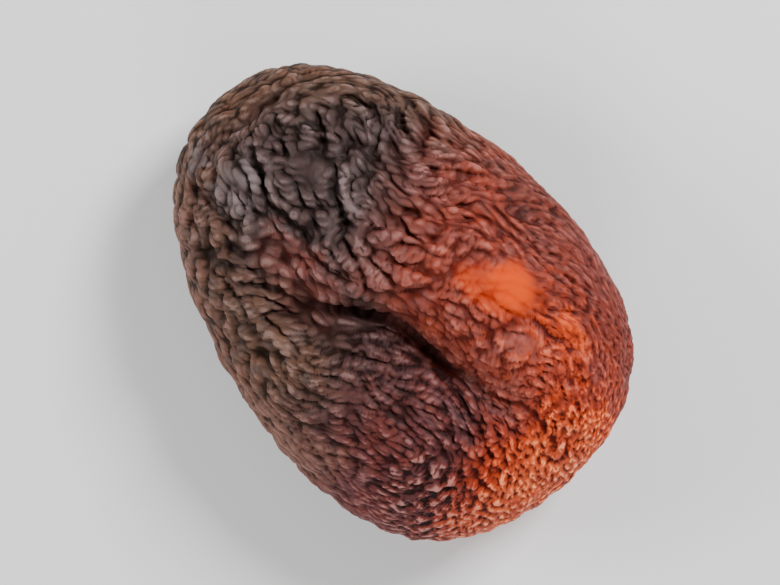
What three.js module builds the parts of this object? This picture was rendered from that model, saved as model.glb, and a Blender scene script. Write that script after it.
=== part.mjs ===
// A whole dried apricot, its stone squeezed out before drying: one wrinkled, leathery piece of fruit.
// Millimetres, +Z up. X runs from the narrow stem end (-X) to the broad blossom end (+X), and the
// fruit lies on the small flat spot that its own weight pressed into the underside, at z = 0.
import * as THREE from "three";
import { mergeVertices } from "three/addons/utils/BufferGeometryUtils.js";

// ---- Driving dimensions, mm ----
const LENGTH = 42;
const WIDTH = 29.3;
const CROWN_HEIGHT = 7.6; // from the rim up to the top of the smooth body
const BELLY_DEPTH = 7.0; // from the rim down to the underside of the smooth body
const PRESSED_FLAT = 0.4; // how much of the belly the flat spot takes away
const EGG_TAPER = 0.17; // the blossom end is this much broader than the middle, the stem end narrower
const END_FULLNESS = 0.18; // how much blunter both ends are than an ellipse's

// ---- The skin's wrinkles ----
const WRINKLE_WAVELENGTH = 3.8; // of the wave field behind them; each wrinkle is half of it wide
const WRINKLE_STRETCH = 1.75; // length of a wrinkle over its width
const WRINKLE_HEIGHT = 0.38;
const VALLEY_SOFTNESS = 0.38; // rounds the narrow valleys between the wrinkles
const MAX_WAVE_TILT = 0.86; // keeps the waves from running straight up through the thin body
const WAVE_COUNT = 32;
const WAVE_SEED = 20;

// ---- The folds: y of each line as a function of x ----
const FOLD_DEPTH = 3.0;
const FOLD_CLIFF = 1.65; // reach of the steep side, under the upper cheek
const FOLD_SLOPE = 4.0; // reach of the easy side, over the lower cheek
const foldLine = (x) => 0.2 * x - 3.6 + 1.7 * Math.tanh((x + 1) / 1.8);
const SUTURE_DEPTH = 0.9; // the natural seam, on the underside
const sutureLine = (x) => 2.2 * Math.sin(x / 9) - 1.5;
const RIM_LEDGE_DEPTH = 0.45; // a shallow step that rings the stem end
const RIM_LEDGE_AT = 0.86; // how far out it lies, as a share of the half width

// ---- Broad swellings (+) and hollows (-), of the upper face and of the underside ----
const UPPER_FEATURES = [
  { at: [5, 5.5], radii: [12, 6.5], height: 1.4 }, // upper cheek, beyond the fold
  { at: [3, -9.5], radii: [13, 4.5], height: 0.9 }, // lower cheek
  { at: [-12, 2], radii: [8, 8], height: 0.7 }, // shoulder of the stem end
  { at: [-8.5, -6.5], radii: [4, 2.5], height: -0.4 }, // where the fold runs out
  { at: [5.7, 7.8], radii: [2.2, 2], height: 0.35 }, // the one taut, unwrinkled spot
  { at: [-14.9, -3.1], radii: [1.4, 1.2], height: 0.45 }, // small knob inside the rim
  { at: [-13.8, 5], radii: [1.3, 1.1], height: -0.7 }, // pit of the stem scar
];
const LOWER_FEATURES = [
  { at: [9, 5], radii: [5, 3.5], height: -1.1 },
  { at: [-9, -5], radii: [5, 3.5], height: -1.0 },
  { at: [-9, 6], radii: [4, 3], height: -0.5 },
];
const TAUT_SPOT = { at: [5.7, 7.8], radii: [1.8, 1.8], height: 0.85 };
const PRESSED_SPOT = { at: [1, 0], radii: [5.5, 4.4], height: 1 };

const FACETS_PER_EDGE = 23; // each edge of the starting icosahedron is cut into this many and one
const FACE_DENSITY = 1.35; // moves points from the rim to the two broad faces

const smoothstep = THREE.MathUtils.smoothstep;
const gauss = (distance, reach) => Math.exp(-((distance / reach) ** 2));
const bump = (p, { at, radii, height }) =>
  height * gauss(p.x - at[0], radii[0]) * gauss(p.y - at[1], radii[1]);

// A fixed sequence of numbers between 0 and 1, the same on every run.
function seededRandom(seed) {
  let state = seed;
  return () => (state = (state * 16807) % 2147483647) / 2147483647;
}

// A sum of plane waves of one wavelength in random directions, longer along X.
function waveField(seed, wavelength, stretch) {
  const random = seededRandom(seed);
  const waves = Array.from({ length: WAVE_COUNT }, () => {
    const up = MAX_WAVE_TILT * (2 * random() - 1);
    const turn = 2 * Math.PI * random();
    const level = Math.sqrt(1 - up * up);
    const across = new THREE.Vector3(level * Math.cos(turn) / stretch, level * Math.sin(turn), up);
    return { across: across.multiplyScalar((2 * Math.PI) / wavelength), phase: 2 * Math.PI * random() };
  });
  const scale = Math.sqrt(2 / WAVE_COUNT);
  return (p) => scale * waves.reduce((sum, w) => sum + Math.sin(w.across.dot(p) + w.phase), 0);
}

const waves = waveField(WAVE_SEED, WRINKLE_WAVELENGTH, WRINKLE_STRETCH);

// The wrinkles follow the pull of the folds, so the field is read along bent lines.
function combed(p) {
  const shoulder = smoothstep(p.y, -3, 4) * (1 - smoothstep(p.x, -8, 2));
  const bend = 4.2 * Math.tanh((p.x - 4) / 8)
    - 1.6 * Math.tanh((p.x - 15) / 4)
    - 2.2 * Math.tanh((p.x + 13) / 5) * shoulder;
  return new THREE.Vector3(p.x, p.y - bend, p.z);
}

// The smooth body before it shrivelled: a flattened egg, a point for each direction.
function bodyPoint(direction) {
  const along = direction.x * (1 + END_FULLNESS * (1 - direction.x ** 2));
  const girth = 1 + EGG_TAPER * along;
  const depth = direction.z > 0 ? CROWN_HEIGHT : BELLY_DEPTH;
  return new THREE.Vector3(
    (along * LENGTH) / 2,
    (direction.y * girth * WIDTH) / 2,
    direction.z * girth * depth,
  );
}

function bodyNormal(p) {
  const depth = p.z > 0 ? CROWN_HEIGHT : BELLY_DEPTH;
  const halfLength = LENGTH / 2;
  const halfWidth = WIDTH / 2;
  return new THREE.Vector3(p.x / halfLength ** 2, p.y / halfWidth ** 2, p.z / depth ** 2).normalize();
}

// A groove that is steep on one side and easy on the other.
const groove = (across, cliff, slope) =>
  (across > 0 ? gauss(across, cliff) : 0.65 * gauss(across, slope) + 0.35 * gauss(across, cliff));

function folds(p, upper) {
  const along = smoothstep(p.x, -10, 1) * (1 - smoothstep(p.x, 7, 16));
  const fold = groove(0.9 * (p.y - foldLine(p.x)), FOLD_CLIFF, FOLD_SLOPE);
  const seamAlong = smoothstep(Math.abs(p.x - 1), 7, 13) * (1 - smoothstep(p.z, -3, 1.5));
  const seam = groove(p.y - sutureLine(p.x), 0.9, 2.2);
  const out = Math.hypot((2 * p.x) / LENGTH, (2 * p.y) / WIDTH / (1 + (EGG_TAPER * 2 * p.x) / LENGTH));
  const ledge = gauss(out - RIM_LEDGE_AT, 0.035) * (1 - smoothstep(p.x, -16, -9));
  return -FOLD_DEPTH * upper * along * fold
    - SUTURE_DEPTH * seamAlong * seam
    - RIM_LEDGE_DEPTH * upper * ledge * (0.6 + 0.4 * Math.sin(0.9 * p.y + 1));
}

function wrinkles(p, upper) {
  const height = Math.hypot(waves(combed(p)), VALLEY_SOFTNESS) - VALLEY_SOFTNESS;
  const rounded = 1.3 * Math.tanh(height / 1.3) - 0.45;
  const left = (1 - bump(p, TAUT_SPOT) * upper) * (1 - bump(p, PRESSED_SPOT) * (1 - upper));
  return WRINKLE_HEIGHT * rounded * left;
}

// How far the shrivelled skin stands out from the smooth body.
function relief(p) {
  const upper = smoothstep(p.z, -1, 2);
  const sum = (features) => features.reduce((total, feature) => total + bump(p, feature), 0);
  return upper * sum(UPPER_FEATURES)
    + (1 - upper) * sum(LOWER_FEATURES)
    + folds(p, upper)
    + wrinkles(p, upper);
}

function skinPoint(direction) {
  const p = bodyPoint(direction);
  p.addScaledVector(bodyNormal(p), relief(p));
  p.z = Math.max(p.z + BELLY_DEPTH - PRESSED_FLAT, 0);
  return p;
}

function driedApricot() {
  const start = new THREE.IcosahedronGeometry(1, FACETS_PER_EDGE);
  start.deleteAttribute("normal");
  start.deleteAttribute("uv");
  const geometry = mergeVertices(start, 1e-5);
  const position = geometry.getAttribute("position");
  for (let i = 0; i < position.count; i++) {
    const direction = new THREE.Vector3().fromBufferAttribute(position, i);
    direction.z *= FACE_DENSITY;
    const p = skinPoint(direction.normalize());
    position.setXYZ(i, p.x, p.y, p.z);
  }
  geometry.computeBoundingBox();
  const middle = geometry.boundingBox.getCenter(new THREE.Vector3());
  geometry.translate(-middle.x, -middle.y, 0);
  geometry.computeVertexNormals();
  return geometry;
}

const skin = new THREE.MeshStandardMaterial({ color: 0x5a3226, roughness: 0.5, metalness: 0 });
const apricot = new THREE.Mesh(driedApricot(), skin);
apricot.name = "apricot";

const group = new THREE.Group();
group.add(apricot);
export default group;
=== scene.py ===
# %% [markdown]
# # A dried apricot
#
# This notebook dresses one piece of dried fruit. The frame that it starts from is a solid with
# the fruit's real size, its deep fold and its larger wrinkles, in about 11,500 facets. On top of
# that a real dried apricot has a second, much finer set of wrinkles, a skin that turns from
# nearly black at the stem end to amber at the other, and a waxy gloss. Those are what is made
# here.

# %% Load the frame
import math

import bpy
import numpy as np
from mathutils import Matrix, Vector


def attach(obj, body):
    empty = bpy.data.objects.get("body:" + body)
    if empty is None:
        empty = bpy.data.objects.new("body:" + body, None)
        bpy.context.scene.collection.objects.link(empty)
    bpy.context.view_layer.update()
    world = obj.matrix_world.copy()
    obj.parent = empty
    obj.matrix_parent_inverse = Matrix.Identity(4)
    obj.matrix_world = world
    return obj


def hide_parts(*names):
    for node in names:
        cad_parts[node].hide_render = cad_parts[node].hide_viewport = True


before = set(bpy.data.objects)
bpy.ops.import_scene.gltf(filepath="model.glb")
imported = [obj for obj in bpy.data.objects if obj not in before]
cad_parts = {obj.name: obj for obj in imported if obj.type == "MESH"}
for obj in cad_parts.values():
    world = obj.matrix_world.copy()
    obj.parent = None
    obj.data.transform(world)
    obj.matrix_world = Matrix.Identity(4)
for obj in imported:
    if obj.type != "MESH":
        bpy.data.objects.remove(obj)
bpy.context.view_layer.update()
MM = 0.001  # the shapes below are worked out in millimetres, and Blender's unit is the metre

# %% [markdown]
# ## The body
#
# Drying takes the water out of the flesh, and the fruit collapses onto the space that the stone
# left. What was a ball becomes a flattened egg with a fold across it. A body like this could be
# sculpted by hand or carved out of a sphere by a displacement texture. Here it is a formula
# instead: a point of the skin for every direction out of the middle. A formula can be evaluated
# on a coarse net for the solid and on a fine net for the picture, and both have the same form.

# %% Measures of the body, mm
LENGTH = 42
WIDTH = 29.3
CROWN_HEIGHT = 7.6  # from the rim up
BELLY_DEPTH = 7.0  # from the rim down
PRESSED_FLAT = 0.4  # what the flat spot takes away of the belly
EGG_TAPER = 0.17  # how much broader the blossom end is than the middle
END_FULLNESS = 0.18  # how much blunter both ends are than an ellipse's
print("before it shrivelled:", LENGTH, "x", WIDTH, "x", CROWN_HEIGHT + BELLY_DEPTH, "mm")


# %% The smooth body: a point of it for each direction, and which way it faces there
def columns(points):
    """The x, y and z of an array with one row for each point."""
    return points[..., 0], points[..., 1], points[..., 2]


def body_points(directions):
    x, y, z = columns(directions)
    along = x * (1 + END_FULLNESS * (1 - x**2))
    girth = 1 + EGG_TAPER * along
    depth = np.where(z > 0, CROWN_HEIGHT, BELLY_DEPTH)
    return np.stack([along * LENGTH / 2, y * girth * WIDTH / 2, z * girth * depth], -1)


def body_normals(points):
    x, y, z = columns(points)
    depth = np.where(z > 0, CROWN_HEIGHT, BELLY_DEPTH)
    out = np.stack([x / (LENGTH / 2) ** 2, y / (WIDTH / 2) ** 2, z / depth**2], -1)
    return out / np.linalg.norm(out, axis=-1, keepdims=True)


ends = body_points(np.array([[-1.0, 0, 0], [1.0, 0, 0]]))
print("stem end and blossom end at x =", ends[:, 0].round(1).tolist())

# %% The fold: steep under the upper cheek, easy over the lower one
FOLD_DEPTH = 3.0
FOLD_CLIFF = 1.65  # reach of its steep side
FOLD_SLOPE = 4.0  # reach of its easy side
FOLD_SLANT = 0.9  # a step along y is this much of a step across it
FOLD_DEEPENS = (-10, 1)  # from x, to x
FOLD_RUNS_OUT = (7, 16)


def smoothstep(x, low, high):
    t = np.clip((x - low) / (high - low), 0, 1)
    return t * t * (3 - 2 * t)


def gauss(distance, reach):
    return np.exp(-((distance / reach) ** 2))


def groove(across, cliff, slope):
    """A cross-section, 1 at the bottom: steep where across is above 0 and easy below."""
    easy = 0.65 * gauss(across, slope) + 0.35 * gauss(across, cliff)
    return np.where(across > 0, gauss(across, cliff), easy)


def fold_line(x):
    """y at the bottom of the fold: askew, with a step up near x = -1."""
    return 0.2 * x - 3.6 + 1.7 * np.tanh((x + 1) / 1.8)


def fold_share(points):
    x, y, _ = columns(points)
    along = smoothstep(x, *FOLD_DEEPENS) * (1 - smoothstep(x, *FOLD_RUNS_OUT))
    return along * groove(FOLD_SLANT * (y - fold_line(x)), FOLD_CLIFF, FOLD_SLOPE)


print("the fold crosses the middle at y =", round(float(fold_line(0)), 1), "mm")

# %% The natural seam underneath, and the ledge round the stem end
SUTURE_DEPTH = 0.9
SUTURE_CLIFF, SUTURE_SLOPE = 0.9, 2.2
RIM_LEDGE_DEPTH = 0.45
RIM_LEDGE_AT = 0.86  # how far out it lies, as a share of the half width
RIM_LEDGE_REACH = 0.035  # the same for its width


def seam_line(x):
    """y at the bottom of the seam: one slow wave along the fruit."""
    return 2.2 * np.sin(x / 9) - 1.5


def folds(points, upper):
    """How far the fold, the seam and the ledge sink the skin, below 0."""
    x, y, z = columns(points)
    seam_along = smoothstep(abs(x - 1), 7, 13) * (1 - smoothstep(z, -3, 1.5))
    seam = groove(y - seam_line(x), SUTURE_CLIFF, SUTURE_SLOPE)
    out = np.hypot(2 * x / LENGTH, 2 * y / WIDTH / (1 + EGG_TAPER * 2 * x / LENGTH))
    ledge = gauss(out - RIM_LEDGE_AT, RIM_LEDGE_REACH) * (1 - smoothstep(x, -16, -9))
    return (
        -FOLD_DEPTH * upper * fold_share(points)
        - SUTURE_DEPTH * seam_along * seam
        - RIM_LEDGE_DEPTH * upper * ledge * (0.6 + 0.4 * np.sin(0.9 * y + 1))
    )


print("sunk by up to", FOLD_DEPTH, "mm,", SUTURE_DEPTH, "mm and", RIM_LEDGE_DEPTH, "mm")

# %% Swellings and hollows: centre x, y, radius along x, along y, height
UPPER_FEATURES = (
    (5, 5.5, 12, 6.5, 1.4),  # upper cheek, beyond the fold
    (3, -9.5, 13, 4.5, 0.9),  # lower cheek
    (-12, 2, 8, 8, 0.7),  # shoulder of the stem end
    (-8.5, -6.5, 4, 2.5, -0.4),  # where the fold runs out
    (5.7, 7.8, 2.2, 2, 0.35),  # the one taut, unwrinkled spot
    (-14.9, -3.1, 1.4, 1.2, 0.45),  # small knob inside the rim
    (-13.8, 5, 1.3, 1.1, -0.7),  # pit of the stem scar
)
LOWER_FEATURES = (
    (9, 5, 5, 3.5, -1.1),
    (-9, -5, 5, 3.5, -1.0),
    (-9, 6, 4, 3, -0.5),
)
TAUT_SPOT = (5.7, 7.8, 1.8, 1.8, 0.85)
PRESSED_SPOT = (1, 0, 5.5, 4.4, 1)


def bump(points, feature):
    x, y, _ = columns(points)
    at_x, at_y, reach_x, reach_y, height = feature
    return height * gauss(x - at_x, reach_x) * gauss(y - at_y, reach_y)


print("swellings and hollows:", len(UPPER_FEATURES), "above,", len(LOWER_FEATURES), "below")

# %% The larger wrinkles: domes between the crossings of a field of random waves
WRINKLE_WAVELENGTH = 3.8
WRINKLE_STRETCH = 1.75  # length of a wrinkle over its width
WRINKLE_HEIGHT = 0.38
VALLEY_SOFTNESS = 0.38  # rounds the narrow valleys between them
DOME_LIMIT = 1.3  # no dome gets much higher than this
DOME_MEAN = 0.45  # what is taken off, so that they stand out as much as they sink in
RIM_EASING = 0.45  # how much lower than the frame's at the rim, to leave room for the fine ones
MAX_WAVE_TILT = 0.86  # keeps the waves from running straight up through the thin body
WAVE_COUNT = 32
WAVE_SEED = 20


def seeded_random(seed):
    """Numbers between 0 and 1, the same on every run and in every language."""
    state = seed
    while True:
        state = state * 16807 % 2147483647
        yield state / 2147483647


def wave_field(points, seed, wavelength, stretch):
    """A sum of plane waves of one wavelength in random directions, longer along x."""
    random = seeded_random(seed)
    total = np.zeros(points.shape[:-1])
    for _ in range(WAVE_COUNT):
        up = MAX_WAVE_TILT * (2 * next(random) - 1)
        turn = 2 * math.pi * next(random)
        level = math.sqrt(1 - up * up)
        across = np.array([level * math.cos(turn) / stretch, level * math.sin(turn), up])
        phase = 2 * math.pi * next(random)
        total += np.sin(points @ across * (2 * math.pi / wavelength) + phase)
    return math.sqrt(2 / WAVE_COUNT) * total


def comb_bend(x, y):
    """How far the pull of the fold bends the wrinkles along y, and back at both ends."""
    shoulder = smoothstep(y, -3, 4) * (1 - smoothstep(x, -8, 2))
    return (
        4.2 * np.tanh((x - 4) / 8)  # up, along the whole fruit
        - 1.6 * np.tanh((x - 15) / 4)  # down again at the blossom end
        - 2.2 * np.tanh((x + 13) / 5) * shoulder  # and over the shoulder of the stem end
    )


def wrinkle_heights(points, upper):
    x, y, z = columns(points)
    combed = np.stack([x, y - comb_bend(x, y), z], -1)
    waves = wave_field(combed, WAVE_SEED, WRINKLE_WAVELENGTH, WRINKLE_STRETCH)
    height = np.hypot(waves, VALLEY_SOFTNESS) - VALLEY_SOFTNESS
    rounded = DOME_LIMIT * np.tanh(height / DOME_LIMIT) - DOME_MEAN
    spared = (1 - bump(points, TAUT_SPOT) * upper) * (1 - bump(points, PRESSED_SPOT) * (1 - upper))
    eased = 1 - RIM_EASING * smoothstep(np.hypot(2 * x / LENGTH, 2 * y / WIDTH), 0.82, 0.97)
    return WRINKLE_HEIGHT * rounded * spared * eased


print("larger wrinkles:", WRINKLE_WAVELENGTH / 2, "mm wide,", WRINKLE_HEIGHT, "mm high")


# %% The skin, as a point for each direction
def skin_points(directions):
    """The skin, the smooth body under it, and how much each point is of the upper face."""
    body = body_points(directions)
    upper = smoothstep(body[..., 2], -1, 2)
    relief = upper * sum(bump(body, feature) for feature in UPPER_FEATURES)
    relief += (1 - upper) * sum(bump(body, feature) for feature in LOWER_FEATURES)
    relief += folds(body, upper) + wrinkle_heights(body, upper)
    skin = body + body_normals(body) * relief[..., None]
    skin[..., 2] += BELLY_DEPTH - PRESSED_FLAT
    return skin, body, upper


overhead = skin_points(np.array([0, 0, 1.0]))[0]
print("the skin over the middle is", round(float(overhead[2]), 1), "mm up")

# %% [markdown]
# ## A net fine enough for the fine wrinkles
#
# The fine wrinkles are about a millimetre apart, so the net's squares have to be some 0.15 mm
# wide. A globe's net of meridians would crowd at two poles. A cube blown up into a sphere
# doesn't: its six faces give nearly equal squares all over, and each face is also a ready-made
# square chart for flattening the skin. The points are moved a little towards the upper face,
# where the wrinkles count.

# %% A cube blown up into a sphere
SQUARES = 128  # along each edge of the cube
FACE_DENSITY = 1.35  # moves points from the rim to the two broad faces
UPPER_DENSITY = 0.25  # and from the lower face to the upper one
WELD_SCALE = 1e6  # points closer than a millionth of the sphere's radius become one


def cube_sphere(squares):
    """Directions, the squares between them, and the squares' corners before welding."""
    steps = np.tan(np.linspace(-math.pi / 4, math.pi / 4, squares + 1))
    u, v = np.meshgrid(steps, steps)
    one = np.ones_like(u)
    sides = [(one, u, v), (-one, -u, v), (-u, one, v), (u, -one, v), (-v, u, one), (v, u, -one)]
    grids = [np.stack(side, -1).reshape(-1, 3) for side in sides]
    cloud = np.concatenate(grids)
    cloud /= np.linalg.norm(cloud, axis=1, keepdims=True)
    keys = np.round(cloud * WELD_SCALE).astype(np.int64)
    _, first, welded = np.unique(keys, axis=0, return_index=True, return_inverse=True)
    row = np.arange(squares)
    corner = (row[:, None] * (squares + 1) + row[None, :]).reshape(-1)
    square = np.stack([corner, corner + 1, corner + squares + 2, corner + squares + 1], 1)
    per_side = (squares + 1) ** 2
    local = np.concatenate([square + side * per_side for side in range(6)])
    return cloud[first], welded.reshape(-1)[local], local


directions, quads, chart_corners = cube_sphere(SQUARES)
directions = directions * (1, 1, FACE_DENSITY) + (0, 0, UPPER_DENSITY)
directions /= np.linalg.norm(directions, axis=1, keepdims=True)
skin, body, upper = skin_points(directions)
middle = (skin[:, :2].max(axis=0) + skin[:, :2].min(axis=0)) / 2
print("net:", len(skin), "points,", len(quads), "squares")

# %% Triangles, areas and normals of the net
triangles = np.concatenate([quads[:, [0, 1, 2]], quads[:, [0, 2, 3]]])


def triangle_normals(points):
    """As long as twice the triangle's area."""
    a, b, c = (points[triangles[:, k]] for k in range(3))
    return np.cross(b - a, c - a)


def onto_points(values, count):
    """Adds the value of each triangle to all three of its corners."""
    return np.bincount(triangles.T.reshape(-1), weights=np.tile(values, 3), minlength=count)


def point_normals(points):
    big = triangle_normals(points)
    total = np.stack([onto_points(big[:, k], len(points)) for k in range(3)], 1)
    return total / np.linalg.norm(total, axis=1, keepdims=True)


normals = point_normals(skin)
outward = (normals * body_normals(body)).sum(1)
print("how squarely the skin faces outward, on average:", round(float(outward.mean()), 2))

# %% [markdown]
# ## The fine wrinkles
#
# The skin shrinks less than the flesh that it is stuck to, so it buckles, everywhere at once and
# at one width. Noise textures don't look like that: they have lumps of every size. Here the
# pattern grows on the net itself. It starts as seeded noise. A sieve lets only waves of the right
# width through, then their height is held to a limit, as the soft flesh holds it, and they are
# sieved once more. Waves that meet have to join, fork or end, which is what wrinkles do. Three
# fields steer it: the direction in which the wrinkles like to run, their width, and their length
# for their width.


# %% Which way the wrinkles run
def wrinkle_directions(points, normals):
    """Along the pull of the folds, but round the rim at the stem end."""
    x, y, _ = columns(points)
    step = 0.05
    across = (comb_bend(x + step, y) - comb_bend(x - step, y)) / (2 * step)
    along = 1 - (comb_bend(x, y + step) - comb_bend(x, y - step)) / (2 * step)
    run = np.stack([along, across, 0 * x], 1)
    run /= np.linalg.norm(run, axis=1, keepdims=True)
    ring = np.stack([-y / (WIDTH / 2) ** 2, x / (LENGTH / 2) ** 2, 0 * x], 1)
    ring /= np.linalg.norm(ring, axis=1, keepdims=True) + 1e-9
    ring *= np.sign((ring * run).sum(1, keepdims=True) + 1e-9)
    near_stem = (1 - smoothstep(x, -18.5, -14))[:, None]
    run = run * (1 - near_stem) + ring * near_stem
    run -= normals * (normals * run).sum(1, keepdims=True)
    return run / (np.linalg.norm(run, axis=1, keepdims=True) + 1e-9)


run = wrinkle_directions(skin, normals)
lengthwise = abs(run[:, 0]) > abs(run[:, 1])
print("share of the skin where they run lengthwise:", round(float(lengthwise.mean()), 2))


# %% How strongly each point feels its neighbours, more so along the wrinkles
def pulls(points, run, stretch):
    """For each side of each triangle its two points and the pull between them; the areas, twice."""
    corners = [points[triangles[:, k]] for k in range(3)]
    normal = triangle_normals(points)
    double_area = np.linalg.norm(normal, axis=1)
    normal = normal / double_area[:, None]
    run_here = sum(run[triangles[:, k]] for k in range(3))
    run_here /= np.linalg.norm(run_here, axis=1, keepdims=True) + 1e-9
    stretch_here = stretch[triangles].mean(1)
    slopes = [
        np.cross(normal, corners[(k + 2) % 3] - corners[(k + 1) % 3]) / double_area[:, None]
        for k in range(3)
    ]
    along = [(slope * run_here).sum(1) for slope in slopes]
    pairs, weights = [], []
    for j, k in ((0, 1), (1, 2), (2, 0)):
        pull = (slopes[j] * slopes[k]).sum(1) + (stretch_here**2 - 1) * along[j] * along[k]
        pairs += [triangles[:, [j, k]], triangles[:, [k, j]]]
        weights += [-pull * double_area / 2] * 2
    return np.concatenate(pairs), np.concatenate(weights), double_area


def spreading_weights(points, run, stretch):
    """For each point its neighbours, their weights, and the area round it."""
    pairs, weights, double_area = pulls(points, run, stretch)
    area = onto_points(double_area / 6, len(points))
    order = np.lexsort((pairs[:, 1], pairs[:, 0]))
    pairs, weights = pairs[order], weights[order]
    fresh = np.concatenate([[True], (pairs[1:] != pairs[:-1]).any(1)])
    weights = np.add.reduceat(weights, np.flatnonzero(fresh))  # two triangles share each pair
    here, there = pairs[fresh].T
    first = np.searchsorted(here, np.arange(len(points)))
    slot = np.arange(len(here)) - first[here]
    neighbour = np.zeros((len(points), slot.max() + 1), np.int64)
    weight = np.zeros(neighbour.shape)
    neighbour[here, slot] = there
    weight[here, slot] = weights
    return neighbour, weight, area


print("neighbours of a point: at most", int(np.bincount(triangles.reshape(-1)).max()))

# %% The sieve: it keeps the waves whose width is close to the wanted one
SIEVE_WIDTH = 0.9  # of the band it keeps, in powers of e
SIEVE_TERMS = 90
SIEVE_ANGLES = 4096  # at which the band is sampled, to work out the terms
PROBE_ROUNDS = 40  # enough to find the largest bend that the net allows
HEADROOM = 1.06  # the terms hold up to this many times that bend


def make_sieve(points, run, stretch, wavelength):
    """A function that lets through the part of a height whose waves are one wavelength wide.

    Bending a wave twice as wide takes a quarter of the force, so waves are told apart by how
    strongly the net bends them back. The sieve is a sum of such bends of bends.
    """
    neighbour, weight, area = spreading_weights(points, run, stretch)
    scale = (wavelength / (2 * math.pi)) ** 2 / area
    weight = weight * scale[:, None]
    total = weight.sum(1)

    def bend(height):
        return total * height - np.einsum("ij,ij->i", weight, height[neighbour])

    probe = np.random.default_rng(1).standard_normal(len(points))
    for _ in range(PROBE_ROUNDS):
        probe = bend(probe)
        largest = np.linalg.norm(probe)
        probe /= largest
    half = HEADROOM / 2 * largest
    angles = (np.arange(SIEVE_ANGLES) + 0.5) * math.pi / SIEVE_ANGLES
    kept = np.exp(-((np.log(half * (1 - np.cos(angles)) + 1e-9) / SIEVE_WIDTH) ** 2))
    terms = [2 * float((kept * np.cos(n * angles)).mean()) for n in range(SIEVE_TERMS)]

    def sieve(height):
        older, newer = height, height - bend(height) / half
        result = terms[0] / 2 * older + terms[1] * newer
        for term in terms[2:]:
            older, newer = newer, 2 * (newer - bend(newer) / half) - older
            result += term * newer
        return result

    return sieve


half_through = math.exp(SIEVE_WIDTH * math.sqrt(math.log(2)) / 2)
print("half gets through of waves", round(half_through, 2), "times too wide or too narrow")

# %% [markdown]
# ## Wrinkles with a place of their own
#
# A few wrinkles are longer than the rest and give this fruit its face: the sharp crease in the
# fold, the step that rings the stem end, two pale ridges across the shoulder, the ridge that runs
# from the taut spot to the blossom end. They could be cut in afterwards, but then they would run
# across the others. So they are drawn as lines through a few points, and the noise that the fine
# wrinkles grow from gets a push along those lines. The wrinkles beside them then fall in with
# them.

# %% Long ridges and long valleys, x and y in mm
LONG_RIDGES = (
    ((-9.4, 3.9), (-8.5, 2.8), (-7, 2.3), (-5.2, 2.8), (-3.8, 3.0)),
    ((-5.3, 2.2), (-4.6, 0.6), (-3, 0), (-0.8, 0.2)),
    ((-15.6, -0.2), (-13.6, -0.4), (-12.5, -1.4), (-11.2, -1.9), (-10.4, -1.1)),
    ((-12.5, -3.8), (-11.4, -4.7), (-10.4, -5.8)),
    ((8.2, 8.6), (9.4, 8.9), (10.3, 8.1), (11.6, 8.9), (13.1, 8.3), (14.6, 7.4), (16.3, 7.0)),
    ((8.5, 4.9), (9.1, 5.9), (10.4, 6.1), (11.2, 5.4)),
    ((-1, -8.8), (-3, -8.9), (-5, -9.4), (-7, -9.2)),
)
LONG_VALLEYS = (
    (
        (-14.9, -0.9), (-13.2, -1.3), (-12.2, -2.2), (-10.4, -2.3), (-8.2, -1.9), (-6, -2.6),
        (-3.8, -2),
    ),
    ((-9.8, 3.0), (-9.0, 1.9), (-7.9, 1.5), (-6.6, 1.0), (-5.6, -0.1)),
    ((-8.3, -8), (-6.8, -7), (-5.6, -6.3)),
    ((10.3, 0.2), (12.2, 0.9), (13.5, 1.8), (15.2, 2.1), (17.2, 1.6)),
    ((5.5, -1.1), (8.3, -1.3), (11, -1.6), (13, -1.9)),
    ((8.4, 6.3), (9.6, 6.7), (10.9, 6.9), (11.7, 7.5)),
    ((-0.4, 2.6), (0.8, 3.1), (1.9, 3.3)),
    ((3.9, 2.9), (4.8, 3.4), (5.6, 3.1)),
    ((6, 3.2), (6.9, 3.7), (7.8, 3.3)),
    ((-12.2, 8.4), (-13, 8.2), (-13.9, 7.6)),
)
CREASE = (
    (-5.2, -6.9), (-3.8, -5.9), (-2, -4.4), (-0.5, -3.2), (0.9, -1.9), (2.2, -1.15), (4, -0.85),
    (6, -0.6), (8, -0.3), (9.6, 0.3),
)
LEDGE = (
    (-15.2, 9), (-16.8, 7), (-17.6, 4.5), (-17.8, 2), (-17.7, 0), (-18.5, -2), (-18, -4.8),
    (-16.4, -6.3), (-14.6, -8.2),
)
print(len(LONG_RIDGES), "long ridges,", len(LONG_VALLEYS), "long valleys, a crease and a ledge")

# %% A smooth line through a few points
LINE_STEPS = 8  # from one point to the next
END_FADE = 0.12  # the strength at the two ends is the root of this, about a third


def traced(stations):
    """Points along the line, and its strength, which fades towards both ends."""
    p = np.array(stations)
    p = np.concatenate([[2 * p[0] - p[1]], p, [2 * p[-1] - p[-2]]])
    t = np.linspace(0, 1, LINE_STEPS, endpoint=False)[:, None]
    spans = []
    for a, b, c, d in zip(p, p[1:], p[2:], p[3:]):
        square, cube = 2 * a - 5 * b + 4 * c - d, 3 * b - a - 3 * c + d
        spans.append(0.5 * (2 * b + (c - a) * t + square * t**2 + cube * t**3))
    line = np.concatenate(spans + [p[-2:-1]])
    return line, np.sin(np.linspace(END_FADE, math.pi - END_FADE, len(line))) ** 0.5


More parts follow.
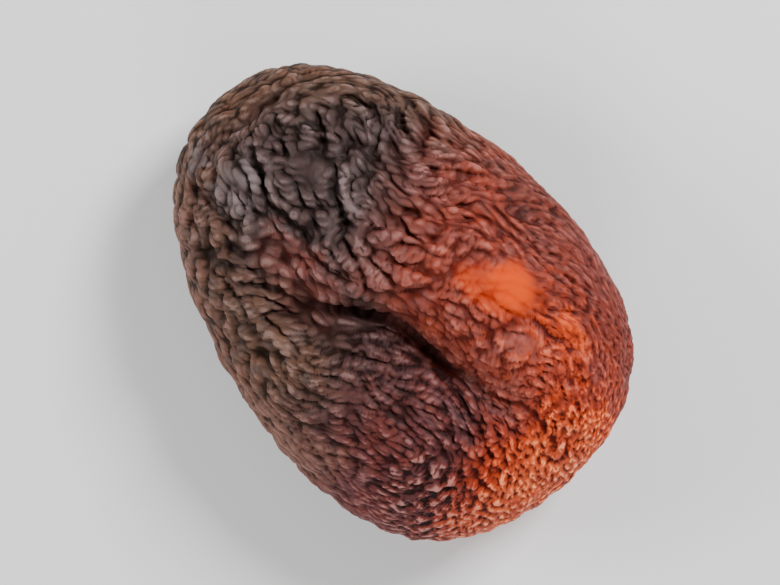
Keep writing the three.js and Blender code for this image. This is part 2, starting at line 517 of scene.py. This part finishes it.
def line_share(x, y, lines, reach):
    """How near each point is to one of the lines, from 0 to 1, and on which side: 1 or -1."""
    share, side = np.zeros(len(x)), np.zeros(len(x))
    for stations in lines:
        line, strength = traced(stations)
        run = np.gradient(line, axis=0)
        run /= np.linalg.norm(run, axis=1, keepdims=True)
        across = x[:, None] - line[:, 0], y[:, None] - line[:, 1]
        here = strength * gauss(np.hypot(*across), reach)
        nearest = (np.arange(len(x)), here.argmax(1))
        offset = across[1][nearest] * run[nearest[1], 0] - across[0][nearest] * run[nearest[1], 1]
        side = np.where(here[nearest] > share, np.tanh(offset / (0.4 * reach)), side)
        share = np.maximum(share, here[nearest])
    return share, side


crease_steps = np.diff(traced(CREASE)[0], axis=0)
print("length of the crease:", round(float(np.hypot(*crease_steps.T).sum()), 1), "mm")

# %% Where those lines lie on this net
RIDGE_REACH, VALLEY_REACH, CREASE_REACH, LEDGE_REACH = 0.3, 0.35, 0.45, 0.5  # mm
BESIDE_REACH = 0.7  # mm, within which the wrinkles fall in with a valley
RISE_ON_RIDGE, RISE_BESIDE = 1.0, 1.6  # the push, for noise that is 1 high
x, y, _ = columns(body)
flat_x, flat_y = x - middle[0], y - middle[1]
ridge_lines = line_share(flat_x, flat_y, LONG_RIDGES, RIDGE_REACH)[0] * upper
valley_lines = line_share(flat_x, flat_y, LONG_VALLEYS, VALLEY_REACH)[0] * upper
crease = line_share(flat_x, flat_y, (CREASE,), CREASE_REACH)[0] * upper
ledge = line_share(flat_x, flat_y, (LEDGE,), LEDGE_REACH)[0] * upper
beside, side = line_share(flat_x, flat_y, LONG_VALLEYS + (CREASE, LEDGE), BESIDE_REACH)
led = (RISE_ON_RIDGE * ridge_lines + RISE_BESIDE * beside * side) * upper
print("on a long ridge:", int((ridge_lines > 0.5).sum()), "points")
print("in a long valley:", int((valley_lines > 0.5).sum()), "points")

# %% [markdown]
# ## How they differ over the fruit
#
# The wrinkles are widest on the shoulder of the stem end, where the flesh was thickest, long and
# narrow on the lobe below the fold, and short and close at the blossom end, where the skin shrank
# from all sides. They sway, and their width wanders, since no two stretches of skin dry alike.

# %% The parts that wrinkle in their own way, each a share from 0 to 1
lower_lobe = (1 - smoothstep(y - fold_line(x), -1, 2)) * smoothstep(x, -8, 4) * upper
blossom_end = smoothstep(x, 8, 17)
stem_end = 1 - smoothstep(x, -9, 1)
upper_cheek = smoothstep(x, -6, 2) * smoothstep(y, 4, 9) * upper
rim = smoothstep(np.hypot(x / (LENGTH / 2), y / (WIDTH / 2)), 0.84, 0.97)
for name, share in (("stem end", stem_end), ("blossom end", blossom_end), ("rim", rim)):
    print("share of the points at the " + name + ":", round(float(share.mean()), 2))


# %% Which way they run, how far apart they lie and how long they are
SPACING = 1.15  # mm from one crest to the next, on the shoulder of the stem end
STRETCH = 2.4  # length of a wrinkle over its width
SWAY_SEED, SPACING_SEED = 11, 7
TURNS = (  # centre x, y, reach along x, along y, and by how many radians the wrinkles turn there
    (8.5, 2.6, 6.0, 2.4, 0.5),
    (15.5, -7.5, 4.0, 4.0, 0.6),
)
from_middle = body - (*middle, 0)
sway = (0.6 - 0.35 * lower_lobe) * np.tanh(wave_field(body, SWAY_SEED, wavelength=7.0, stretch=1.0))
sway += upper * sum(bump(from_middle, turn) for turn in TURNS)
sway = sway[:, None]
run = np.cos(sway) * run + np.sin(sway) * np.cross(normals, run)
spacing = SPACING - 0.26 * lower_lobe
spacing = spacing * (1 - 0.40 * smoothstep(x, -3, 14) * (1 - 0.7 * lower_lobe))
spacing *= 1 + 0.06 * stem_end * upper
spacing *= 1 - 0.25 * rim
wander = wave_field(body, SPACING_SEED, wavelength=6.0, stretch=1.0)
spacing *= 1 + 0.2 * np.tanh(wander)
stretch = STRETCH + (0.8 * lower_lobe + 0.3 * rim) * (1 - blossom_end) - 0.6 * blossom_end
closest, widest = spacing.min(), spacing.max()
print("from crest to crest:", round(float(closest), 2), "to", round(float(widest), 2), "mm")

# %% Let three sets of them grow: the folds, a rounder swell, and a crimp that runs askew
LIMIT_SHARPNESS = 1.5  # how suddenly the flesh stops a wrinkle from growing higher
CRIMP_TURN = 0.4  # radians
BLOSSOM_SINK = 0.15  # how much lower the folds' waves lie at the blossom end
FOLD_SEED, SWELL_SEED, CRIMP_SEED = 3, 8, 11


def buckle(points, run, stretch, wavelength, seed, led=0):
    """Seeded waves of one width. Where led is above 0 they rise, and below 0 they sink."""
    sieve = make_sieve(points, run, stretch, wavelength)
    height = sieve(np.random.default_rng(seed).standard_normal(len(points)) + led)
    height = sieve(np.tanh(LIMIT_SHARPNESS * height / height.std() + led))
    return height / height.std()


folded = buckle(skin, run, stretch, 1.8 * spacing, FOLD_SEED, led) - BLOSSOM_SINK * blossom_end
swell = buckle(skin, run, 0.8 * stretch, 1.25 * spacing, SWELL_SEED)
askew = np.cos(CRIMP_TURN) * run + np.sin(CRIMP_TURN) * np.cross(normals, run)
crimped = buckle(skin, askew, 0.7 * stretch, 0.95 * spacing, CRIMP_SEED)
print("fold waves:", round(float(folded.min()), 2), "to", round(float(folded.max()), 2))


# %% Put them together: a wave turns into domes with a narrow valley between them
FOLD_VALLEY, CRIMP_VALLEY = 0.12, 0.15  # how soft the bottoms of the valleys are


def domes(height, softness):
    """Round tops of about 1 on both sides of a narrow valley, where the height crosses 0."""
    return np.tanh(1.2 * (np.hypot(height, softness) - softness))


swelled = 0.38 + 0.22 * blossom_end  # the rounder swell's share of a ridge
ridge = (1 - swelled) * domes(folded, FOLD_VALLEY)
ridge = ridge + swelled * np.clip(0.5 + 0.36 * swell, 0, 1)
ridge = ridge * (1 - 0.5 * valley_lines) + 0.25 * ridge_lines
crimp = domes(crimped, CRIMP_VALLEY)
print("ridges: from", round(float(ridge.min()), 2), "to", round(float(ridge.max()), 2))

# %% [markdown]
# ## Where the skin stays smooth, and how the wrinkles lean
#
# A few spots are stuck down or pulled taut and have hardly a wrinkle. Everywhere else a wrinkle
# is not a wave but a small fold: it leans over, with an easy back and a steep front, because the
# whole skin slid towards the deep fold as it dried. So each point is raised and also pushed that
# way, in proportion to its height. A bump texture can't do this, because it moves nothing
# sideways.

# %% Raise the wrinkles on the skin
FINE_HEIGHT = 0.50  # height of a wrinkle over its spacing
CRIMP_HEIGHT = 0.4  # of the crimp, over that of the folds
HEIGHT_SEED = 5
LEAN = 0.8  # how far a wrinkle leans over, for its height
RIDGE_RISE, VALLEY_SINK, CREASE_SINK, LEDGE_SINK = 0.16, 0.12, 0.4, 0.32  # mm
SMOOTH_SPOTS = (  # centre x, y, reach along x, along y, and how smooth, from 0 to 1
    (6.1, 7.5, 2.2, 1.8, 0.85),
    (3.6, 5.7, 1.1, 0.8, 0.5),
    (-11.2, 1.5, 1.4, 1.1, 0.75),
    (4.0, -7.6, 1.5, 1.0, 0.6),
    (9.9, 5.3, 1.0, 0.8, 0.6),
    (-14.7, -3.3, 0.8, 1.2, 0.6),
)
PRESSED_SMOOTH = (1, 0, 6.5, 5.2, 0.9)  # the same for the flat spot underneath

taut = np.ones(len(body))
for spot in SMOOTH_SPOTS:
    taut *= 1 - bump(from_middle, spot) * upper
fine_depth = FINE_HEIGHT * spacing
uneven = wave_field(body, HEIGHT_SEED, wavelength=9.0, stretch=1.0)
fine_depth = fine_depth * (1 + 0.25 * np.tanh(uneven))
fine_depth *= 1 - (0.35 + 0.25 * stem_end) * rim  # the skin is pulled over the edge there
fine_depth *= 1 - 0.3 * upper_cheek  # and over the plump cheek
fine_depth *= taut * (1 - bump(body, PRESSED_SMOOTH) * (1 - upper))
proud = (ridge - 0.5 + CRIMP_HEIGHT * (crimp - 0.5)) * fine_depth
lean = np.array([0, -1.0, 0])  # towards the deep fold, but only across the wrinkles, in the skin
lean = lean + run * run[:, 1:2] + normals * normals[:, 1:2]
lean *= (LEAN * proud * upper)[:, None]
placed = RIDGE_RISE * ridge_lines - VALLEY_SINK * valley_lines
placed = placed - CREASE_SINK * crease - LEDGE_SINK * ledge
proud += placed
points = skin + normals * proud[:, None] + lean
points[:, :2] -= middle
points[:, 2] = np.maximum(points[:, 2], 0)  # pressed flat by the fruit's weight
print("raised by", round(float(proud.min()), 2), "to", round(float(proud.max()), 2), "mm")

# %% How high each point lies among the wrinkles: 0 in the deepest valley, 1 on the highest top
height_share = 0.62 * ridge + 0.38 * crimp
rank = np.empty(len(height_share))
rank[np.argsort(height_share)] = np.linspace(0, 1, len(height_share))
rank = rank * taut + 0.5 * (1 - taut)  # where the skin is taut, all of it is half way up
rank += 0.4 * rim * (1 - upper) * (0.6 - rank)  # below the rim the tones are more even
# The long ridges move up the rank, towards painted highlights, and the long valleys down, towards
# painted shade.
rank = np.clip(rank + 0.22 * ridge_lines - 0.4 * valley_lines, 0, 1)
print("points with the rank of a top:", int((rank > 0.9).sum()))

# %% [markdown]
# ## The skin as one mesh
#
# The finish paints shade in the valleys and highlights on the crests, so the mesh carries the
# height rank with it, and how deep in the fold each point lies. Each side of the cube becomes one
# square chart.

# %% The mesh and its charts
CHART_MARGIN = 0.01


def chart_layout(local, squares):
    """Where each corner lies on the chart sheet, three sides of the cube across and two up."""
    per_side = (squares + 1) ** 2
    side, place = local // per_side, local % per_side
    across, up = place % (squares + 1) / squares, place // (squares + 1) / squares
    u = (side % 3 + CHART_MARGIN + across * (1 - 2 * CHART_MARGIN)) / 3
    v = (side // 3 + CHART_MARGIN + up * (1 - 2 * CHART_MARGIN)) / 2
    return np.stack([u, v], -1)


mesh = bpy.data.meshes.new("dried_apricot_skin")
mesh.from_pydata((points * MM).tolist(), [], quads.tolist())
mesh.polygons.foreach_set("use_smooth", np.ones(len(quads), bool))
charts = mesh.uv_layers.new(name="OFBake")
charts.data.foreach_set("uv", chart_layout(chart_corners, SQUARES).reshape(-1))
print("skin:", len(mesh.polygons), "squares on", len(mesh.vertices), "points")


# %% The numbers that its finish reads, and its place in the frame
def keep_number(name, values):
    mesh.attributes.new(name, "FLOAT", "POINT").data.foreach_set("value", values.astype(np.float32))


keep_number("rank", rank)
deep_fold = fold_share(body) * smoothstep(x, -5, 2) * (1 - smoothstep(x, 5, 10)) * upper
keep_number("fold", np.clip(crease + 0.5 * deep_fold + 0.6 * ledge, 0, 1))
mesh.update()
fruit = bpy.data.objects.new("dried_apricot_skin", mesh)
bpy.context.scene.collection.objects.link(fruit)
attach(fruit, "root")
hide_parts("apricot")
print("numbers on the mesh: rank and fold, for each of its", len(rank), "points")

# %% [markdown]
# ## Writing a finish as sums
#
# A finish in Blender is a net of small boxes, one for each sum. Wiring them by hand hides the
# idea, so the class below wraps one output of a box, and Python's own signs add the boxes.


# %% A socket that can be reckoned with
class Field:
    """One output of a node. A sum that is written with it adds Math nodes."""

    def __init__(self, finish, output):
        self.finish = finish
        self.output = output

    def math(self, operation, *values):
        return self.finish.box("ShaderNodeMath", {"operation": operation}, values)

    def __add__(self, other):
        return self.math("ADD", self, other)

    def __sub__(self, other):
        return self.math("SUBTRACT", self, other)

    def __rsub__(self, other):
        return self.math("SUBTRACT", other, self)

    def __mul__(self, other):
        return self.math("MULTIPLY", self, other)

    def __truediv__(self, other):
        return self.math("DIVIDE", self, other)

    def __rtruediv__(self, other):
        return self.math("DIVIDE", other, self)

    def __pow__(self, other):
        return self.math("POWER", self, other)

    def __rpow__(self, other):
        return self.math("POWER", other, self)

    __radd__ = __add__
    __rmul__ = __mul__


print("signs that add a node: + - * / **")


# %% A finish, to which every other node is added by one method
class Finish:
    def __init__(self, name):
        self.material = bpy.data.materials.new(name)
        self.material.use_nodes = True
        self.tree = self.material.node_tree
        self.tree.nodes.clear()

    def box(self, kind, settings=None, sockets=(), output=0):
        """Adds a node: its settings first, then a value or a Field for each socket."""
        node = self.tree.nodes.new(kind)
        for name, value in (settings or {}).items():
            setattr(node, name, value)
        named = sockets.items() if isinstance(sockets, dict) else enumerate(sockets)
        for key, value in named:
            if isinstance(value, Field):
                self.tree.links.new(value.output, node.inputs[key])
            else:
                node.inputs[key].default_value = value
        return Field(self, node.outputs[output]) if node.outputs else None

    def rise(self, value, low, high):
        """0 below low, 1 above high, and a smooth step between."""
        sockets = {"Value": value, "From Min": low, "From Max": high}
        return self.box("ShaderNodeMapRange", {"interpolation_type": "SMOOTHSTEP"}, sockets)

    def most(self, first, *others):
        for other in others:
            first = self.box("ShaderNodeMath", {"operation": "MAXIMUM"}, (first, other))
        return first

    def least(self, first, second):
        return self.box("ShaderNodeMath", {"operation": "MINIMUM"}, (first, second))

    def mix(self, share, first, second):
        """The first colour where share is 0 and the second where it is 1."""
        first, second = (c if isinstance(c, Field) else (*c, 1) for c in (first, second))
        return self.box(
            "ShaderNodeMix", {"data_type": "RGBA"}, {0: share, 6: first, 7: second}, output=2
        )

    def number(self, name):
        """A number that the mesh carries."""
        settings = {"attribute_type": "GEOMETRY", "attribute_name": name}
        return self.box("ShaderNodeAttribute", settings, output="Fac")

    def noise(self, place, size_mm, detail=2.0, roughness=0.5):
        """Seeded by the place alone: from 0 to 1, mostly near 0.5."""
        sockets = {"Scale": 1 / (size_mm * MM), "Detail": detail, "Roughness": roughness}
        return self.box("ShaderNodeTexNoise", {}, {"Vector": place, **sockets})


finish = Finish("apricot_skin")
print("a finish with", len(finish.tree.nodes), "nodes so far:", finish.material.name)

# %% [markdown]
# ## The skin's colours
#
# Apricots dried without sulphur turn brown as the sugar in them darkens, and not evenly: the stem
# end is nearly black, with a grey sheen painted on its crests and knobs, the blossom end stayed
# amber, and between them the skin is rust. One spot was pulled taut and shows the bright flesh. A
# painted picture of this would be tied to one fruit, so each colour is a zone instead, given by a
# few lengths. The borders wander by a millimetre or two, as stains do. In each zone the valleys are
# painted dark as shade, the flanks are flecked, and the tops are painted pale as highlights.

# %% Places on the fruit, in mm, with borders that wander
CLOUD_SIZE = 4.5
CLOUD_REACH = 4.0  # how far a border wanders, from its furthest in to its furthest out
SPECK_SIZE, FLECK_SIZE = 0.8, 1.6
SPECK_REACH, FLECK_REACH = 1.4, 1.6  # how ragged they make it besides
FAR_AWAY = (0.3, 0.2, 0.1)  # m, where the clouds have nothing in common with those here
place = finish.box("ShaderNodeTexCoord", output="Object")
elsewhere = finish.box("ShaderNodeVectorMath", {"operation": "ADD"}, (place, FAR_AWAY))
parts = finish.box("ShaderNodeSeparateXYZ", sockets=(place,))
across, up, height = (Field(finish, socket) / MM for socket in parts.output.node.outputs)
rank = finish.number("rank")
fold = finish.number("fold")
clouds = finish.noise(place, CLOUD_SIZE)
other_clouds = finish.noise(elsewhere, CLOUD_SIZE)
specks = finish.noise(place, SPECK_SIZE, detail=2.0, roughness=0.6)
flecks = finish.noise(place, FLECK_SIZE, detail=3.0, roughness=0.7)
flecks = finish.rise(flecks, 0.36, 0.64)
soft_x = across + CLOUD_REACH * (clouds - 0.5)
soft_y = up + CLOUD_REACH * (other_clouds - 0.5)
px = soft_x + SPECK_REACH * (specks - 0.5)
py = soft_y - FLECK_REACH * (flecks - 0.5)
out = ((px / (LENGTH / 2)) ** 2 + (py / (WIDTH / 2)) ** 2) ** 0.5  # 1 at the rim
upper_face = finish.rise(height, 4.5, 8.0)  # the rim is between these heights
# crest: 0 in the valleys, where the colours paint shade, up to 1 on the tops
crest = 0.55 * finish.rise(rank, 0.06, 0.58) + 0.45 * finish.rise(rank, 0.60, 1.0)
# tops: where painted highlights go, on the highest crests, broken up by specks and mostly on the
# upper face
tops = finish.rise(rank, 0.66, 0.96) * finish.rise(specks, 0.40, 0.56) * (0.25 + 0.75 * upper_face)
print("nodes that say where on the skin:", len(finish.tree.nodes))

# %% Ovals with a colour of their own: centre x, y and reach along x, along y
BRIGHT_SPOT = (5.7, 7.3, 2.7, 2.4)
PALE_LOBE = (4.8, 5.9, 3.2, 2.1)
BRIGHT_STREAK = (10.8, 8.0, 4.2, 1.4)
GREY_PATCH = (10.0, 5.5, 2.2, 1.8)
AMBER_CHEEK = (10.0, 7.2, 8.5, 4.6)
RED_BEFORE_FOLD = (-5.5, -4.5, 6.0, 3.6)
# where glints are painted as highlights, with painted shade in the valleys between them
GLINTS = (14.5, -9.0, 5.5, 4.5)
# two knobs at the stem end, on whose crests a grey sheen is painted
SHEEN_KNOB_INSIDE_RIM = (-14.6, -3.2, 2.6, 3.0)
SHEEN_KNOB_ON_RIM = (-18.1, -3.9, 1.4, 1.4)


def patch(oval):
    """1 in the middle of an oval, falling to 0 at its ragged edge."""
    at_x, at_y, reach_x, reach_y = oval
    distance = ((px - at_x) / reach_x) ** 2 + ((py - at_y) / reach_y) ** 2
    return finish.rise(distance, 1, 0)


def soft_patch(oval):
    """The same with a soft edge."""
    at_x, at_y, reach_x, reach_y = oval
    distance = ((soft_x - at_x) / reach_x) ** 2 + ((soft_y - at_y) / reach_y) ** 2
    return finish.rise(distance, 1.1, 0.1)


print("the bright spot covers", round(math.pi * BRIGHT_SPOT[2] * BRIGHT_SPOT[3]), "square mm")

# %% Where rust, plum and amber lie, as shares from 0 to 1
beyond_fold = finish.rise(py - 0.2 * px + 1.9, -1.2, 1.2)  # past the line y = 0.2 x - 1.9
above_middle = finish.rise(py, 3, 8)
rust_there = finish.rise(px + 0.45 * py, -6.5, 4.5) * beyond_fold  # up to the dark shoulder
rust_there = finish.most(rust_there, 0.36 * patch(RED_BEFORE_FOLD))
plum_at_rim = 0.45 * finish.rise(out, 0.6, 0.95) * finish.rise(px, -9, 3) * above_middle
plum_there = finish.most(finish.rise(px, -3, 10) * (1 - beyond_fold), plum_at_rim)
amber_edge = 14.8 - 0.45 * finish.least(py + 3.5, 0.0)  # it slants away below the fold
amber_there = finish.rise(px - amber_edge, -3.5, 2.5) * (1 - finish.rise(py, 5, 9.5))
amber_there = finish.most(amber_there, 0.7 * patch(AMBER_CHEEK))
tip_there = finish.rise(px, 14.5, 19) * (1 - finish.rise(py, 2, 8)) * amber_there
tip_there = tip_there * (0.3 + 0.7 * upper_face)
print("nodes that place the wide stains:", len(finish.tree.nodes))

# %% Where the edges, with painted light on the near one, the painted sheen and the bright flesh lie
khaki_at_rim = finish.rise(out, 0.70, 0.98) * (1 - finish.rise(px, 0, 11))
khaki_at_rim = khaki_at_rim * (1 - 0.6 * rust_there)
khaki_below = 0.8 * finish.rise(py, -4, -10) * (1 - finish.rise(px, -1, 6))
khaki_there = finish.most(khaki_at_rim, khaki_below) * (0.4 + 0.6 * upper_face)
far_edge = 0.5 * finish.rise(py, 5, 12) * finish.rise(px, -6, 2)
# The near rim faces away from the main lamp, so its crests get painted light.
near_edge_painted_light = finish.rise(out, 0.78, 1.0) * (1 - finish.rise(py, -9, -4))
near_edge_painted_light = near_edge_painted_light * (1 - finish.rise(px, 5, 12))
near_edge_painted_light = 0.7 * near_edge_painted_light * crest * upper_face
# A painted sheen: grey highlights on the crests of the two knobs.
painted_sheen_there = 0.9 * finish.most(patch(SHEEN_KNOB_INSIDE_RIM), patch(SHEEN_KNOB_ON_RIM)) * crest
glints = patch(GLINTS)
bright_there = finish.most(
    soft_patch(BRIGHT_SPOT), 0.5 * soft_patch(PALE_LOBE), 0.45 * patch(BRIGHT_STREAK) * crest
)
print("nodes that place all colours:", len(finish.tree.nodes))


# %% What each colour is
def tones(valley, flank, warm_flank, top):
    """One stain: painted shade in valleys, flecked flanks, painted highlights on tops."""
    flanks = finish.mix(flecks, flank, warm_flank)
    return finish.mix(crest, valley, finish.mix(tops, flanks, top))


dusk = tones(
    valley=(0.010, 0.004, 0.003), flank=(0.084, 0.053, 0.051),
    warm_flank=(0.104, 0.064, 0.060), top=(0.145, 0.100, 0.098),
)
rust = tones(
    valley=(0.090, 0.009, 0.004), flank=(0.265, 0.074, 0.058),
    warm_flank=(0.395, 0.066, 0.034), top=(0.380, 0.108, 0.080),
)
plum = tones(
    valley=(0.018, 0.0012, 0.001), flank=(0.118, 0.038, 0.040),
    warm_flank=(0.184, 0.041, 0.033), top=(0.225, 0.088, 0.084),
)
amber = tones(
    valley=(0.070, 0.003, 0.001), flank=(0.410, 0.038, 0.008),
    warm_flank=(0.700, 0.056, 0.002), top=(0.800, 0.115, 0.025),
)
pale_amber = tones(
    valley=(0.060, 0.003, 0.001), flank=(0.540, 0.066, 0.022),
    warm_flank=(0.880, 0.140, 0.036), top=(1, 0.310, 0.140),
)
khaki = tones(
    valley=(0.020, 0.008, 0.004), flank=(0.120, 0.068, 0.049),
    warm_flank=(0.172, 0.076, 0.043), top=(0.190, 0.110, 0.084),
)
# These two also get darker valleys from the crest share: painted shade.
oxblood = finish.mix(crest, (0.030, 0.002, 0.001), (0.190, 0.018, 0.007))
bright_flesh = finish.mix(crest, (0.580, 0.034, 0.0005), (0.730, 0.078, 0.0005))
# painted shade and painted highlights for the patch of glints
glint_patch_painted_shade = (0.010, 0.001, 0.001)
glint_patch_painted_highlight = (0.430, 0.190, 0.165)
# painted light for the crests of the near rim
painted_light_on_near_edge = (0.190, 0.088, 0.070)
# painted sheen, a grey highlight
grey_painted_sheen = (0.180, 0.142, 0.142)
dull_rust = (0.300, 0.090, 0.070)
fold_shade = (0.014, 0.0025, 0.002)
print("nodes with the colours:", len(finish.tree.nodes))

# %% Lay them over each other, from the widest stain to the smallest, painted light and shade too
layers = (
    (rust_there, rust),
    (plum_there, plum),
    (amber_there, finish.mix(tip_there, amber, pale_amber)),
    (khaki_there, khaki),
    (far_edge, oxblood),
    (glints * finish.rise(rank, 0.62, 0.15), glint_patch_painted_shade),
    (0.8 * glints * finish.rise(rank, 0.72, 1.0), glint_patch_painted_highlight),
    (near_edge_painted_light, painted_light_on_near_edge),
    (painted_sheen_there, grey_painted_sheen),
    (bright_there, bright_flesh),
    (0.5 * patch(GREY_PATCH), dull_rust),
    (0.85 * fold, fold_shade),
)
colour = dusk
for share, layer in layers:
    colour = finish.mix(share, colour, layer)
print("stains laid over each other:", len(layers))

# %% [markdown]
# ## Gloss
#
# The skin of a dried fruit is waxed by its own sugar: a broad, dull shine, a little sharper on
# the crests, and gone in the fold. Pores and a fine grain break it up, too small to be worth
# raising in the mesh, so they are a bump. A touch of light gets under the skin.

# %% Its finest grain
GRAIN_SIZE, PORE_SPACING, PORE_DEPTH = 0.25, 0.55, 0.1  # mm
grain = finish.noise(place, GRAIN_SIZE, detail=3.0, roughness=0.6)
pores = finish.box(
    "ShaderNodeTexVoronoi",
    {"feature": "SMOOTH_F1"},
    {"Vector": place, "Scale": 1 / (PORE_SPACING * MM)},
)
fine_height = (0.7 * grain - 0.8 * pores) * (1 - 0.6 * bright_there)
bumps = finish.box(
    "ShaderNodeBump",
    sockets={"Strength": 0.7, "Distance": PORE_DEPTH * MM, "Height": fine_height},
    output="Normal",
)
print("pores:", PORE_SPACING, "mm apart")

# %% Its gloss
roughness = 0.47 + 0.20 * grain - 0.16 * crest + 0.3 * bright_there + 0.3 * fold
skin_shader = finish.box(
    "ShaderNodeBsdfPrincipled",
    {"subsurface_method": "RANDOM_WALK"},
    {
        "Base Color": colour,
        "Roughness": roughness,
        "Normal": bumps,
        "IOR": 1.45,
        "Specular IOR Level": 0.13,
        "Subsurface Weight": 0.08,
        "Subsurface Radius": (1.0, 0.35, 0.12),
        "Subsurface Scale": 0.4 * MM,
    },
)
finish.box("ShaderNodeOutputMaterial", sockets={"Surface": skin_shader})
mesh.materials.append(finish.material)
print("nodes of the whole finish:", len(finish.tree.nodes))

# %% [markdown]
# ## The table
#
# A plain pale table shows the outline and the shadow best. It is one square, wide enough to reach
# past the picture's edges, and it is stage, not part of the fruit.

# %% Table
TABLE_HALF = 0.6  # m
table_mesh = bpy.data.meshes.new("table_top")
corners = [(right, up, 0) for right, up in ((-1, -1), (1, -1), (1, 1), (-1, 1))]
table_mesh.from_pydata((np.array(corners) * TABLE_HALF).tolist(), [], [(0, 1, 2, 3)])
table = bpy.data.objects.new("table_top", table_mesh)
bpy.context.scene.collection.objects.link(table)
table_finish = Finish("pale_table")
table_look = {"Base Color": (0.8, 0.8, 0.8, 1), "Roughness": 0.6}
table_shader = table_finish.box("ShaderNodeBsdfPrincipled", sockets=table_look)
table_finish.box("ShaderNodeOutputMaterial", sockets={"Surface": table_shader})
table_mesh.materials.append(table_finish.material)
print("table:", 2 * TABLE_HALF, "m wide")

# %% [markdown]
# ## The camera
#
# It looks straight down, as someone does who picks a fruit out of a bowl. Turned about its own
# line of sight, it shows the stem end at the upper left. A long lens keeps the outline true.

# %% Camera
CAMERA_ROLL = math.radians(48.3)
CAMERA_HEIGHT = 0.2185  # m, at which the fruit fills the picture from top to bottom
LONG_LENS = 120  # mm
camera_data = bpy.data.cameras.new("camera")
camera_data.lens = LONG_LENS
camera = bpy.data.objects.new("camera", camera_data)
camera.location = (0, 0, CAMERA_HEIGHT)
camera.rotation_euler = (0, 0, CAMERA_ROLL)
bpy.context.scene.collection.objects.link(camera)
bpy.context.scene.camera = camera
print("camera:", round(CAMERA_HEIGHT / MM), "mm up")

# %% [markdown]
# ## The lamps
#
# Wrinkles show when the light rakes across them. The main lamp stands beyond the upper cheek, so
# the steep fronts of the wrinkles and the near side of the fold lie in shade. Two weaker ones on
# the other sides, and a pale room, keep that shade open. All are small panels, soft at this
# distance.

# %% Lamps
ROOM_LIGHT = 0.28
AIM_HEIGHT = 8 * MM  # about half way up the fruit


def in_picture(right, up, height):
    """A place given as the camera sees it, in the frame's axes."""
    return (
        right * math.cos(CAMERA_ROLL) - up * math.sin(CAMERA_ROLL),
        right * math.sin(CAMERA_ROLL) + up * math.cos(CAMERA_ROLL),
        height,
    )


def lamp(name, place, size, power):
    """A square lamp of this size in metres and power in watts, aimed at the middle of the fruit."""
    data = bpy.data.lights.new(name, "AREA")
    data.shape = "SQUARE"
    data.size = size
    data.energy = power
    holder = bpy.data.objects.new(name, data)
    holder.location = place
    aim = Vector((0, 0, AIM_HEIGHT)) - Vector(place)
    holder.rotation_euler = aim.to_track_quat("-Z", "Y").to_euler()
    bpy.context.scene.collection.objects.link(holder)


lamp("beyond_the_cheek", in_picture(0.20, 0.18, 0.24), size=0.12, power=2.0)
lamp("stem_side", in_picture(-0.29, 0.02, 0.15), size=0.14, power=0.95)
lamp("near_side", in_picture(0.02, -0.31, 0.13), size=0.14, power=0.62)
world = bpy.data.worlds.new("room")
world.use_nodes = True
world.node_tree.nodes["Background"].inputs["Color"].default_value = (1, 1, 1, 1)
world.node_tree.nodes["Background"].inputs["Strength"].default_value = ROOM_LIGHT
bpy.context.scene.world = world
